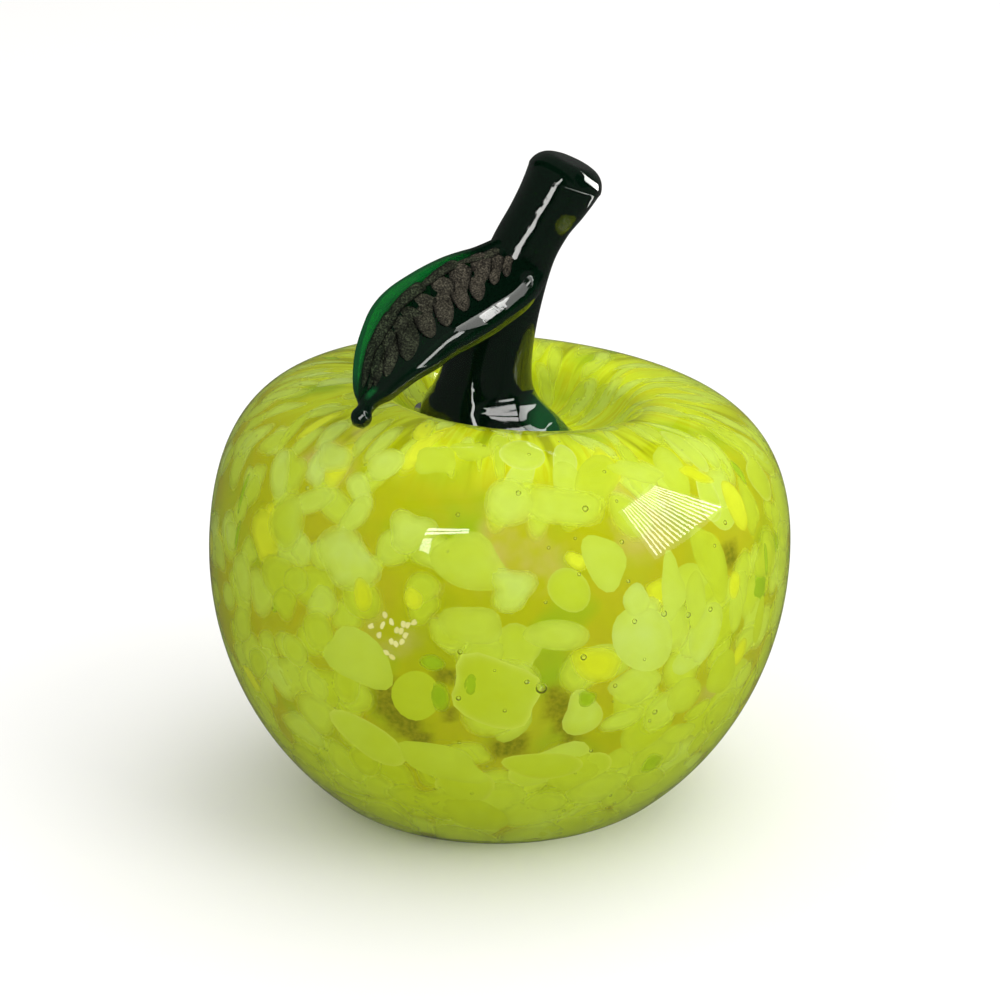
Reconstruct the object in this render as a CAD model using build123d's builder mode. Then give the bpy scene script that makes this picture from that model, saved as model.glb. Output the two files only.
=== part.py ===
from build123d import *
import os
from math import cos, degrees, pi, radians, sin, tan

# Hand-blown art glass apple: an inner bubble, a layer of coloured glass chips rolled onto it, a clear casing
# over both, and a drawn stem with a pressed leaf. Millimetres, +Z up, the base on Z = 0, the viewer at -Y.
# The apple is a body of revolution about its own axis, which leans to the right, cut flat by the ground
# base.

# Apple body: outer outline, in the leaning frame
belly_radius = 45.0
lower_depth = 48.0
base_cut = 8.3
lower_fullness_share = 0.552
crest_radius = 23.5
crest_rise = 26.0
shoulder_fullness_share = 0.675
lip_radius = 6.5
bowl_radius = 8.5
bowl_wall_angle = 60.0
apple_lean = 4.4

# Walls, the neck left by the blow-pipe, and the ground base with its polished pontil hollow
casing_wall = 2.2
casing_base = 3.0
gather_wall = 2.2
gather_base = 4.5
base_edge_radius = 2.5
pontil_radius = 9.0
pontil_depth = 0.7
neck_radius = 4.0

# Coloured chips between casing and gather
chip_thickness = 0.6
chip_clearance = 0.1
chip_length = 8.6
chip_width = 8.2
chip_gap = 1.1
chip_trim_share = 0.15
chip_size_shares = ((1.0, 0.88), (0.84, 1.0))
yellow_every = 7
green_every = 19

# Stem: drawn rod with a flared foot fused into the bowl and a sheared, fire-polished end
stem_root_depth = 10.7
stem_height = 45.0
stem_lean = 12.3
stem_radius = 5.6
foot_radius = 12.6
stem_place_x = -1.4
stem_place_y = 1.0
stem_end_tilt = 24.0
stem_end_polish = 3.2
seat_clearance = 0.1
plug_clearance = 0.1
plug_reach = 1.5
plug_overlap = 1.2
shaft_flare_share = 0.3
# Height, lean and girth of the stem's sections, and how much of the foot's flare each one has
stem_shares = (
    (0.0, 0.0, 1.0, 1.0),
    (0.055, 0.0, 1.0, 0.98),
    (0.11, -0.05, 1.0, 0.8),
    (0.185, -0.12, 1.0, 0.48),
    (0.255, -0.07, 1.0, 0.25),
    (0.36, 0.01, 1.0, 0.12),
    (0.51, 0.16, 1.0, 0.01),
    (0.69, 0.39, 0.9, 0.0),
    (0.8, 0.6, 0.88, 0.0),
    (0.88, 0.78, 0.97, 0.0),
    (0.94, 0.9, 1.04, 0.0),
    (1.0, 1.0, 1.06, 0.0),
)

# Leaf: pressed glass, fused to the front of the stem, drooping to a drawn bead
leaf_start_side = 4.8
leaf_start_forward = 4.2
leaf_start_rise = 31.2
leaf_reach = 23.5
leaf_forward = 24.4
leaf_drop = 18.3
leaf_width = 15.8
leaf_thickness = 4.4
bead_radius = 1.5
# Reach, forward run and drop of the leaf's sections, and their width and thickness
leaf_shares = (
    (0.0, 0.0, 0.0, 0.66, 0.95),
    (0.16, 0.09, 0.14, 0.86, 1.0),
    (0.33, 0.19, 0.22, 0.98, 1.0),
    (0.48, 0.32, 0.29, 1.0, 0.95),
    (0.62, 0.44, 0.37, 0.97, 0.88),
    (0.73, 0.58, 0.48, 0.86, 0.8),
    (0.83, 0.71, 0.61, 0.66, 0.75),
    (0.92, 0.86, 0.78, 0.38, 0.7),
)
# The same run of the bead's sections, from its neck to its end, and their share of the bead's size
bead_shares = ((0.965, 0.94, 0.9, 0.8), (0.982, 0.967, 0.945, 1.0), (1.0, 1.0, 1.0, 0.4))
# Top and underside of a leaf section, across and up: thick rolled near edge, midrib groove, thin far edge
leaf_top_shares = ((0.5, -0.04), (0.4, 0.42), (0.18, 0.4), (-0.08, 0.14), (-0.36, 0.3), (-0.5, 0.0))
leaf_underside_shares = ((-0.5, 0.0), (-0.38, -0.26), (0.0, -0.42), (0.38, -0.48), (0.5, -0.04))
leaf_across_shares = (0.7, -0.56, -0.44)

# Derived places
belly_height = lower_depth - base_cut
stem_root_height = belly_height + crest_rise - stem_root_depth
chip_outer_inset = casing_wall + chip_clearance
chip_inner_inset = chip_outer_inset + chip_thickness
chip_layer = chip_thickness + 2 * chip_clearance
chip_floor = casing_base + chip_clearance
gather_inset = casing_wall + chip_layer
cavity_inset = gather_inset + gather_wall
gather_floor = casing_base + chip_layer
cavity_floor = gather_floor + gather_base

apple_frame = Plane(
    origin=(0, 0, belly_height),
    x_dir=(cos(radians(apple_lean)), 0, -sin(radians(apple_lean))),
    z_dir=(0, -1, 0),
)
apple_axis = Axis(apple_frame.origin, apple_frame.y_dir)
base_centre = -belly_height * sin(radians(apple_lean))
bowl_floor = crest_rise - (lip_radius + bowl_radius) * (1 - cos(radians(bowl_wall_angle)))


def outline(inset):
    """Half outline of the apple, radius against height over the belly, from the foot of the axis over the
    belly and the crest down into the bowl, moved inward by the inset."""
    rise = crest_rise - inset
    reach = belly_radius - crest_radius - inset
    turn = radians(bowl_wall_angle)
    with BuildLine() as half:
        Bezier(
            (0, inset - lower_depth),
            (lower_fullness_share * (belly_radius - inset), inset - lower_depth),
            (belly_radius - inset, lower_fullness_share * (inset - lower_depth)),
            (belly_radius - inset, 0),
        )
        Bezier(
            (belly_radius - inset, 0),
            (belly_radius - inset, shoulder_fullness_share * rise),
            (crest_radius + shoulder_fullness_share * reach, rise),
            (crest_radius, rise),
        )
        lip = CenterArc(
            (crest_radius, crest_rise - lip_radius), lip_radius - inset, 90, bowl_wall_angle
        )
        bowl_start = lip @ 1
        bowl_end = (
            bowl_start.X - (bowl_radius + inset) * sin(turn),
            bowl_start.Y - (bowl_radius + inset) * (1 - cos(turn)),
        )
        TangentArc([bowl_start, bowl_end], tangent=lip % 1)
    return half.edges()


def apple_form(inset, floor_height):
    """Solid of the apple's form at an inset from its outer surface, cut flat at the floor's height."""
    half = outline(inset)
    pole = half[0] @ 0
    bowl = half[-1] @ 1
    with BuildPart() as form:
        with BuildSketch(apple_frame):
            with BuildLine():
                add(half)
                Line((bowl.X, bowl.Y), (0, bowl.Y))
                Line((0, bowl.Y), (0, pole.Y))
            make_face()
        revolve(axis=apple_axis)
        split(bisect_by=Plane.XY.offset(floor_height), keep=Keep.TOP)
    return form.part


def neck_plane(depth):
    """Plane square to the apple's axis, at a depth below the floor of the bowl."""
    return Plane(
        origin=apple_frame.from_local_coords((0, bowl_floor - depth, 0)), z_dir=apple_frame.y_dir
    )


def turned_frame(turn):
    """The apple's frame, turned about its axis, for a chip that starts at that angle."""
    return Plane(
        origin=apple_frame.origin,
        x_dir=apple_frame.x_dir.rotate(apple_axis, turn),
        z_dir=apple_frame.z_dir.rotate(apple_axis, turn),
    )


def floor_crossing(edge, floor_height):
    """Where an outline edge comes up through a level floor, on the side to which the apple leans."""
    floor_start = Vector(0, (floor_height - belly_height) / cos(radians(apple_lean)))
    floor_end = floor_start + Vector(belly_radius, belly_radius * tan(radians(apple_lean)))
    return edge.find_intersection_points(Edge.make_line(floor_start, floor_end))[0]


def chip_bands():
    """Bands of the chip layer between two neighbouring rings of the outline: the layer's outer and inner
    edge there, the share of their length at the band's middle, and the room that a chip has along them."""
    bands = []
    for outer, inner in zip(outline(chip_outer_inset), outline(chip_inner_inset)):
        first = 0
        if (outer @ 0).Y < 0:
            crossing = floor_crossing(outer, chip_floor)
            first = outer.param_at_point(crossing) - chip_gap / 2 / outer.length
        count = max(1, round(outer.length * (1 - first) / (chip_length + chip_gap)))
        step = (1 - first) / count
        for index in range(count):
            bands.append((outer, inner, first + (index + 1 / 2) * step, outer.length * step - chip_gap))
    return bands


def chip_kind(number):
    """Colour of the chip with this number, so that a few yellow and green ones lie among the lime."""
    if number % green_every == 0:
        return "green"
    if number % yellow_every == 0:
        return "yellow"
    return "lime"


def oval_chip(outer, inner, middle, length, width):
    """One chip: the layer under an oval, which lies square to the layer at the middle of the band."""
    reach = length * (1 + chip_trim_share) / 2 / outer.length
    low = max(0, middle - reach)
    high = min(1, middle + reach)
    heart = outer @ middle
    along = outer % middle
    spread = degrees(width * (1 + chip_trim_share) / heart.X)
    origin = apple_frame.from_local_coords((heart.X, heart.Y, 0))
    uphill = apple_frame.x_dir * along.X + apple_frame.y_dir * along.Y
    with BuildPart() as chip:
        with BuildSketch(turned_frame(-spread / 2)):
            with BuildLine():
                ThreePointArc(outer @ low, outer @ middle, outer @ high)
                Line(outer @ high, inner @ high)
                ThreePointArc(inner @ high, inner @ middle, inner @ low)
                Line(inner @ low, outer @ low)
            make_face()
        revolve(axis=apple_axis, revolution_arc=spread)
        with BuildSketch(Plane(origin=origin, x_dir=uphill, z_dir=uphill.cross(apple_frame.z_dir))):
            Ellipse(length / 2, width / 2)
        extrude(amount=length, both=True, mode=Mode.INTERSECT)
    return chip.part.solid()


def wall_chips():
    """All chips of the layer round the apple, by colour: bands of ovals, each turned to its own place."""
    chips = {"lime": [], "yellow": [], "green": []}
    number = 0
    for row, (outer, inner, middle, room) in enumerate(chip_bands()):
        count = int(2 * pi * (outer @ middle).X / (chip_width + chip_gap))
        ovals = [
            oval_chip(outer, inner, middle, length_share * room, width_share * chip_width)
            for length_share, width_share in chip_size_shares
        ]
        for place in range(count):
            number += 1
            chip = ovals[number % len(ovals)]
            turn = 360 * (place + row / 2) / count
            chips[chip_kind(number)].append(chip.rotate(apple_axis, turn))
    return chips


def base_chips():
    """The flat chips of the base, in rings between the casing's floor and the gather's."""
    floor_radius = floor_crossing(outline(chip_inner_inset)[0], chip_floor + chip_thickness).X
    rings = int((floor_radius - chip_length / 2) / (chip_width + chip_gap))
    with BuildPart() as group:
        with BuildSketch(Plane.XY.offset(chip_floor)):
            for ring in range(1, rings + 1):
                radius = ring * (chip_width + chip_gap)
                count = int(2 * pi * radius / (chip_width + chip_gap))
                with Locations((base_centre, 0)):
                    with PolarLocations(radius, count):
                        Ellipse(chip_length / 2, chip_width / 2)
        extrude(amount=chip_thickness)
    return group.solids()


def heading(places, index):
    """Direction in which a row of places runs on at one of them."""
    ahead = places[min(index + 1, len(places) - 1)] - places[max(index - 1, 0)]
    return ahead.normalized()


# Clear casing: the outer overlay, with a ground base, a polished pontil hollow and the neck hole
with BuildPart() as casing:
    add(apple_form(0, 0))
    base_edge = casing.faces().sort_by(Axis.Z)[0].edges()
    fillet(base_edge, base_edge_radius)
    add(apple_form(casing_wall, casing_base), mode=Mode.SUBTRACT)
    with BuildSketch(neck_plane(cavity_inset)):
        Circle(neck_radius)
    extrude(amount=2 * cavity_inset, mode=Mode.SUBTRACT)
    pontil_sphere = (pontil_radius**2 + pontil_depth**2) / (2 * pontil_depth)
    with Locations((base_centre, 0, pontil_depth - pontil_sphere)):
        Sphere(pontil_sphere, mode=Mode.SUBTRACT)

# Inner gather: the blown bubble, thick at the base, with the air space inside
with BuildPart() as gather:
    add(apple_form(gather_inset, gather_floor))
    add(apple_form(cavity_inset, cavity_floor), mode=Mode.SUBTRACT)
    with BuildSketch(neck_plane(2 * cavity_inset)):
        Circle(neck_radius)
    extrude(amount=2 * cavity_inset, mode=Mode.SUBTRACT)

# Stem: sections along the leaning rod, level in the flared foot and tilted at the sheared end, and the plug
# of glass that its root left in the neck hole
stem_places = [
    Vector(stem_place_x + stem_lean * lean, stem_place_y, stem_root_height + stem_height * height)
    for height, lean, girth, flare in stem_shares
]
with BuildPart() as stem:
    for index, (height, lean, girth, flare) in enumerate(stem_shares):
        ahead = heading(stem_places, index)
        if flare > shaft_flare_share:
            ahead = Vector(0, 0, 1)
        if height == 1:
            ahead = Vector(sin(radians(stem_end_tilt)), 0, cos(radians(stem_end_tilt)))
        with BuildSketch(Plane(origin=stem_places[index], x_dir=(0, 1, 0), z_dir=ahead)):
            Circle(stem_radius * girth + (foot_radius - stem_radius) * flare)
    loft()
    fillet(stem.faces().sort_by(Axis.Z)[-1].edges(), stem_end_polish)
    add(apple_form(-seat_clearance, 0), mode=Mode.SUBTRACT)
    with BuildSketch(neck_plane(cavity_inset + plug_reach)):
        Circle(neck_radius - plug_clearance)
    extrude(amount=cavity_inset + plug_reach + seat_clearance + plug_overlap)

# Leaf: sections along its drooping midline, ending in the bead that the tip was drawn out to
leaf_sections = [
    (reach, forward, drop, leaf_width * width, leaf_thickness * thickness)
    for reach, forward, drop, width, thickness in leaf_shares
]
leaf_sections += [
    (reach, forward, drop, 2 * bead_radius * size, 2 * bead_radius * size)
    for reach, forward, drop, size in bead_shares
]
leaf_places = [
    Vector(
        stem_place_x + leaf_start_side - leaf_reach * reach,
        stem_place_y - leaf_start_forward - leaf_forward * forward,
        stem_root_height + leaf_start_rise - leaf_drop * drop,
    )
    for reach, forward, drop, width, thickness in leaf_sections
]
with BuildPart() as leaf:
    for index, (reach, forward, drop, width, thickness) in enumerate(leaf_sections):
        ahead = heading(leaf_places, index)
        across = Vector(*leaf_across_shares)
        across = across - ahead * across.dot(ahead)
        with BuildSketch(Plane(origin=leaf_places[index], x_dir=across, z_dir=ahead)):
            with BuildLine():
                top = [(width * side, thickness * up) for side, up in leaf_top_shares]
                Spline(*top, tangents=((0, 1), (0, -1)))
                under = [(width * side, thickness * up) for side, up in leaf_underside_shares]
                Spline(*under, tangents=((0, -1), (0, 1)))
            make_face()
    loft()
    add(stem.part, mode=Mode.SUBTRACT)

# Chips of each colour, as one group of separate ovals
chips = wall_chips()
with BuildPart() as lime_chips:
    add(chips["lime"])
    add(base_chips())

with BuildPart() as yellow_chips:
    add(chips["yellow"])

with BuildPart() as green_chips:
    add(chips["green"])

os.makedirs("parts", exist_ok=True)
casing.part.label = "clear_casing"
export_step(casing.part, "parts/clear_casing.step")
gather.part.label = "inner_gather"
export_step(gather.part, "parts/inner_gather.step")
lime_chips.part.label = "lime_chips"
export_step(lime_chips.part, "parts/lime_chips.step")
yellow_chips.part.label = "yellow_chips"
export_step(yellow_chips.part, "parts/yellow_chips.step")
green_chips.part.label = "green_chips"
export_step(green_chips.part, "parts/green_chips.step")
stem.part.label = "stem"
export_step(stem.part, "parts/stem.step")
leaf.part.label = "leaf"
export_step(leaf.part, "parts/leaf.step")
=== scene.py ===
from math import cos, pi, radians, sin

import bpy
import numpy as np
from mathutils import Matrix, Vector
from mathutils.bvhtree import BVHTree
from mathutils.interpolate import poly_3d_calc


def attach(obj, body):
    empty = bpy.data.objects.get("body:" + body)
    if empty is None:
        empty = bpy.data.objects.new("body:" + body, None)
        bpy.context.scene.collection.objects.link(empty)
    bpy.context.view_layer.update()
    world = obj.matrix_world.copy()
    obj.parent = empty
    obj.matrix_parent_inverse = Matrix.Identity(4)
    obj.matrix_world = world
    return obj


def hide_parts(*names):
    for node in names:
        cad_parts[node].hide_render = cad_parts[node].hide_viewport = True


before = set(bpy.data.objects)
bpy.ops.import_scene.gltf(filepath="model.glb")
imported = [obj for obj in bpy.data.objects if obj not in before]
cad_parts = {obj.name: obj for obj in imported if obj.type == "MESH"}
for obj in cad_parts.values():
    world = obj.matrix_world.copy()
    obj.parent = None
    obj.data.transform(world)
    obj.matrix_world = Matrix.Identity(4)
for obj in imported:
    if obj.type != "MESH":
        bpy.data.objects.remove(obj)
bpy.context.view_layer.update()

# Art glass apple: clear overlay with seed bubbles, three colours of chips under it, an amber inner bubble,
# and a dark green stem and leaf. Lengths are in millimetres until a mesh is made. A place on the apple is a
# share of its outline, from under the base over the belly into the bowl, and a turn round its axis.
mm = 0.001
draws = np.random.default_rng(73)

apple = {
    "bellyRadius": 45.0, "bellyHeight": 39.7, "lowerDepth": 48.0, "lowerFullness": 0.552,
    "crestRadius": 23.5, "crestHeight": 65.7, "shoulderFullness": 0.675,
    "lipRadius": 6.5, "bowlRadius": 8.5, "bowlTurn": 60.0,
    "lean": 4.4,                     # degrees that its axis leans to the right
    "steps": (500, 400, 120),        # points on the lower quarter, the upper quarter and each arc
}
view = {
    "pictureSide": 1000, "focal": 2694.0, "centre": (499.4, 554.8), "sensor": 36.0,
    "distance": 420.0, "rise": 20.4, "aimHeight": 38.0,
}
perPixel = view["distance"] / view["focal"]          # millimetres on the apple for a pixel of the picture


def fromScreen(red, green, blue):
    # a colour as it is seen, made linear: the sRGB curve undone
    seen = np.array((red, green, blue)) / 255
    return (*np.where(seen < 0.04045, seen / 12.92, ((seen + 0.055) / 1.055) ** 2.4).tolist(), 1.0)


def allRound(count):
    return np.linspace(0, 2 * pi, count, endpoint=False)


def unit(rows):
    return rows / np.linalg.norm(rows, axis=-1, keepdims=True)


def lengthAlong(line):
    return np.concatenate(((0,), np.cumsum(np.linalg.norm(np.diff(line, axis=0), axis=1))))


def bezier(points, count):
    # cubic curve: the four points, each weighted by its Bernstein polynomial of the share
    share = np.linspace(0, 1, count)[:, None]
    first, second, third, last = (np.array(point, float) for point in points)
    rest = 1 - share
    return first * rest**3 + 3 * second * share * rest**2 + 3 * third * share**2 * rest + last * share**3


def appleOutline(count=1600):
    # half outline, radius and height over the belly: two Bezier quarters, the lip's arc, the bowl's arc and
    # its floor, put at even steps of its length, with the outward normal as the tangent turned by a quarter
    a = apple
    belly, depth, rise = a["bellyRadius"], a["lowerDepth"], a["crestHeight"] - a["bellyHeight"]
    low, high, crest = a["lowerFullness"], a["shoulderFullness"], a["crestRadius"]
    reach = belly - crest
    lowerSteps, upperSteps, arcSteps = a["steps"]
    lower = bezier(((0, -depth), (low * belly, -depth), (belly, -low * depth), (belly, 0)), lowerSteps)
    upper = bezier(((belly, 0), (belly, high * rise), (crest + high * reach, rise), (crest, rise)),
                   upperSteps)
    turn = np.linspace(0, radians(a["bowlTurn"]), arcSteps)
    lip = np.stack((crest - a["lipRadius"] * np.sin(turn), rise - a["lipRadius"] * (1 - np.cos(turn))), 1)
    back = turn[::-1]
    bowlEnd = lip[-1] - a["bowlRadius"] * np.array((sin(turn[-1]), 1 - cos(turn[-1])))
    bowl = bowlEnd + a["bowlRadius"] * np.stack((np.sin(back), 1 - np.cos(back)), 1)
    floor = np.array(((bowlEnd[0] / 2, bowlEnd[1]), (0, bowlEnd[1])))
    line = np.concatenate((lower, upper[1:], lip[1:], bowl[1:], floor))
    length = lengthAlong(line)
    even = np.linspace(0, length[-1], count)
    line = np.stack((np.interp(even, length, line[:, 0]), np.interp(even, length, line[:, 1])), 1)
    tangent = unit(np.gradient(line, axis=0))
    return line, np.stack((tangent[:, 1], -tangent[:, 0]), 1), length[-1]


outline, outlineNormal, outlineLength = appleOutline()
outlineShare = np.linspace(0, 1, len(outline))


def leanOver(across, back, height):
    # from the apple's own frame to the room: turned by the lean about Y, lifted by the belly's height
    lean = radians(apple["lean"])
    return np.stack((across * cos(lean) + height * sin(lean), back,
                     height * cos(lean) - across * sin(lean) + apple["bellyHeight"]), -1)


def standUp(points):
    # the way back: the room's points in the apple's own frame, across, back and height
    lean = radians(apple["lean"])
    up = points[..., 2] - apple["bellyHeight"]
    across = points[..., 0] * cos(lean) - up * sin(lean)
    height = points[..., 0] * sin(lean) + up * cos(lean)
    return across, points[..., 1], height


def flatten(height, floor, rounding):
    # the larger of height and floor, with a parabola of the rounding's width where they meet
    near = (height - floor + rounding) ** 2 / (4 * rounding) + floor
    return np.where(height > floor + rounding, height, np.where(height < floor - rounding, floor, near))


def onApple(share, turn, inset=0.0, floor=0.0, rounding=0.4):
    # a point of the layer at that inset: the outline's point less its normal times the inset, carried round
    # the axis by the turn, leaned over, and flattened at the floor
    radius, height = (np.interp(share, outlineShare, line) - inset * np.interp(share, outlineShare, normal)
                      for line, normal in zip(outline.T, outlineNormal.T))
    points = leanOver(radius * np.cos(turn), radius * np.sin(turn), height)
    points[..., 2] = flatten(points[..., 2], floor, rounding)
    return points


def toPicture(points):
    # picture place of a point: its offset from the aim, turned by the camera's rise, over its depth
    rise = radians(view["rise"])
    up = points[..., 2] - view["aimHeight"]
    depth = view["distance"] + points[..., 1] * cos(rise) - up * sin(rise)
    right = view["centre"][0] + view["focal"] * points[..., 0] / depth
    down = view["centre"][1] - view["focal"] * (up * cos(rise) + points[..., 1] * sin(rise)) / depth
    return np.stack((right, down), -1)


cameraPlace = np.array((0, -view["distance"] * cos(radians(view["rise"])),
                        view["aimHeight"] + view["distance"] * sin(radians(view["rise"]))))


def outwardAt(share, turn, step=1e-3):
    # outward normal of the outer surface: cross product of its two slopes
    alongShare = onApple(share + step, turn) - onApple(share - step, turn)
    alongTurn = onApple(share, turn + step) - onApple(share, turn - step)
    return unit(np.cross(alongTurn, alongShare))


gridShare, gridTurn = np.meshgrid(np.linspace(0.02, 0.93, 460), np.linspace(-pi, 0, 620), indexing="ij")
gridPoints = onApple(gridShare, gridTurn)
gridPicture = toPicture(gridPoints)
gridHidden = ((cameraPlace - gridPoints) * outwardAt(gridShare, gridTurn)).sum(-1) <= 0


def underPixel(right, down):
    # share and turn of the outer surface seen at a place of the picture: the nearest point of a fine grid
    # that faces the camera
    miss = np.hypot(gridPicture[..., 0] - right, gridPicture[..., 1] - down) + 1e6 * gridHidden
    best = np.unravel_index(np.argmin(miss), miss.shape)
    return float(gridShare[best]), float(gridTurn[best])


def layerPlace(right, down, inset):
    # the point of the layer at that inset under a place of the picture
    share, turn = underPixel(right, down)
    return onApple(np.array(share), np.array(turn), inset)


def mirroredFrom(mesh, tree, right, down, distance):
    # where a light stands so that a piece mirrors it at that place of the picture: the sight line from the
    # camera meets the piece, is turned over by the smooth normal there, and is followed for the distance
    rise = radians(view["rise"])
    sight = Vector(((right - view["centre"][0]) / view["focal"], cos(rise), -sin(rise)))
    sight += Vector((0, sin(rise), cos(rise))) * (view["centre"][1] - down) / view["focal"]
    sight.normalize()
    place, _, index, _ = tree.ray_cast(Vector(cameraPlace * mm), sight)
    corners = [mesh.vertices[vertex] for vertex in mesh.polygons[index].vertices]
    weights = poly_3d_calc([corner.co for corner in corners], place)
    normal = sum((corner.normal * weight for corner, weight in zip(corners, weights)), Vector()).normalized()
    return np.array(place + (sight - 2 * sight.dot(normal) * normal) * distance) / mm


def newObject(name, data):
    made = bpy.data.objects.new(name, data)
    bpy.context.scene.collection.objects.link(made)
    return made


def newPiece(name, points, faces, attributes=None, normals=None, smooth=True):
    # one mesh object at the origin from points in millimetres and faces, with values for each point and, for
    # thin pieces that shade like the layer they lie in, a normal for each corner of each face
    mesh = bpy.data.meshes.new(name)
    mesh.from_pydata((np.asarray(points) * mm).tolist(), [], [list(face) for face in faces])
    for label, values in (attributes or {}).items():
        kind, field = ("FLOAT", "value") if np.ndim(values) == 1 else ("FLOAT_VECTOR", "vector")
        layer = mesh.attributes.new(label, kind, "POINT")
        layer.data.foreach_set(field, np.ascontiguousarray(values, np.float32).ravel())
    mesh.validate()
    mesh.polygons.foreach_set("use_smooth", np.full(len(mesh.polygons), smooth))
    if normals is not None:
        mesh.normals_split_custom_set(normals.tolist())
    return newObject(name, mesh)


def closedTube(rings):
    # points of rings with the middle of the first and last ring added, joined ring to ring and closed round,
    # with a fan at each end; the faces point out: the quads' signed volume has to be positive
    rows, around = rings.shape[:2]
    points = np.concatenate((rings.reshape(-1, 3), rings[:1].mean(1), rings[-1:].mean(1)))
    first = np.arange(rows - 1)[:, None] * around
    place = np.arange(around)
    after = (place + 1) % around
    quads = np.stack((first + place, first + after, first + around + after, first + around + place), -1)
    start = np.stack((np.full(around, rows * around), after, place), -1)
    last = (rows - 1) * around
    end = np.stack((np.full(around, rows * around + 1), last + place, last + after), -1)
    faces = quads.reshape(-1, 4).tolist() + start.tolist() + end.tolist()
    offset = points - points.mean(0)
    near, middle, far = (offset[quads[..., corner]] for corner in range(3))
    return points, faces if (near * np.cross(middle, far)).sum() > 0 else [face[::-1] for face in faces]


def carried(place, across, up, side, rise):
    # rings for a tube: each point is the ring's place and its own shares of the ring's directions
    return place[:, None] + side[..., None] * across[:, None] + rise[..., None] * up[:, None]


def joined(meshes):
    # several meshes as one: the points in a row, and the faces' numbers moved on by the points before them
    allPoints, allFaces = [], []
    count = 0
    for points, faces in meshes:
        allPoints.append(points)
        allFaces += [[corner + count for corner in face] for face in faces]
        count += len(points)
    return np.concatenate(allPoints), allFaces


def turnedInside(mesh):
    return mesh[0], [face[::-1] for face in mesh[1]]


def ball(rows, around):
    # rings of a ball of radius 1 without its poles
    polar = np.linspace(0, pi, rows + 2)[1:-1]
    turn = allRound(around)
    return np.stack((np.outer(np.sin(polar), np.cos(turn)), np.outer(np.sin(polar), np.sin(turn)),
                     np.outer(np.cos(polar), np.ones_like(turn))), -1)


def smoothTrack(values, count):
    # Catmull-Rom curve through given rows of values: each span is the cubic of its four neighbours
    knots = np.array(values, float)
    knots = np.concatenate((2 * knots[:1] - knots[1:2], knots, 2 * knots[-1:] - knots[-2:-1]))
    place = np.linspace(0, len(knots) - 3 - 1e-9, count)
    span = place.astype(int)
    part = (place - span)[:, None]
    a, b, c, d = (knots[span + offset] for offset in range(4))
    return 0.5 * (2 * b + (c - a) * part + (2 * a - 5 * b + 4 * c - d) * part**2
                  + (3 * b - a - 3 * c + d) * part**3)


def feed(tree, socket, value):
    # an output of another node is linked to the socket, and a plain value is set on it
    if isinstance(value, bpy.types.NodeSocket):
        tree.links.new(value, socket)
    else:
        socket.default_value = value


def node(tree, kind, inputs=None, **settings):
    made = tree.nodes.new(kind)
    for name, value in settings.items():
        setattr(made, name, value)
    for name, value in (inputs or {}).items():
        feed(tree, made.inputs[name], value)
    return made


def maths(tree, operation, first, second=0.0, clamped=False):
    made = node(tree, "ShaderNodeMath", {0: first, 1: second}, operation=operation, use_clamp=clamped)
    return made.outputs[0]


def blendColours(tree, factor, first, second, how="MIX"):
    # the sockets 6 and 7 of the Mix node are its two colours, and its output 2 is their blend
    made = node(tree, "ShaderNodeMix", {0: factor, 6: first, 7: second}, data_type="RGBA", blend_type=how)
    return made.outputs[2]


def ramp(tree, factor, stops):
    # colours by the factor; a stop is its position and either red, green and blue as seen or a plain value
    made = node(tree, "ShaderNodeValToRGB", {"Fac": factor})
    elements = made.color_ramp.elements
    while len(elements) < len(stops):
        elements.new(0.5)
    for element, (position, *colour) in zip(elements, stops):
        element.position = position
        element.color = fromScreen(*colour) if len(colour) == 3 else (*colour * 3, 1)
    return made.outputs["Color"]


def pointValue(tree, label):
    return node(tree, "ShaderNodeAttribute", attribute_name=label).outputs["Fac"]


def objectPlace(tree):
    return node(tree, "ShaderNodeTexCoord").outputs["Object"]


def newMaterial(name):
    material = bpy.data.materials.new(name)
    material.use_nodes = True
    material.node_tree.nodes.clear()
    return material, material.node_tree


def showing(tree, surface, volume=None):
    # ends a material: what its surface and its inside are made of
    output = node(tree, "ShaderNodeOutputMaterial", {"Surface": surface})
    if volume is not None:
        feed(tree, output.inputs["Volume"], volume)


def mottleGroup():
    # cloudy mask used by every glass: noise at the given size, stretched about its middle by the contrast
    group = bpy.data.node_groups.new("glassMottle", "ShaderNodeTree")
    group.interface.new_socket("Vector", in_out="INPUT", socket_type="NodeSocketVector")
    for label, value in (("Scale", 100.0), ("Detail", 3.0), ("Contrast", 2.0), ("Middle", 0.5)):
        socket = group.interface.new_socket(label, in_out="INPUT", socket_type="NodeSocketFloat")
        socket.default_value = value
    group.interface.new_socket("Mask", in_out="OUTPUT", socket_type="NodeSocketFloat")
    given = node(group, "NodeGroupInput").outputs
    noise = node(group, "ShaderNodeTexNoise",
                 {label: given[label] for label in ("Vector", "Scale", "Detail")})
    spread = maths(group, "SUBTRACT", noise.outputs["Fac"], given["Middle"])
    spread = maths(group, "MULTIPLY", spread, given["Contrast"])
    node(group, "NodeGroupOutput", {"Mask": maths(group, "ADD", spread, 0.5, clamped=True)})
    return group


mottleShader = mottleGroup()


def mottle(tree, scale, detail, contrast, middle=0.5):
    values = {"Vector": objectPlace(tree), "Scale": scale, "Detail": detail, "Contrast": contrast,
              "Middle": middle}
    return node(tree, "ShaderNodeGroup", values, node_tree=mottleShader).outputs["Mask"]


def fadeIn(value, start, width):
    # share, 0 to 1, of the way through a stretch of that width from its start; a negative width runs back
    return np.clip((value - start) / width, 0, 1)


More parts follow.
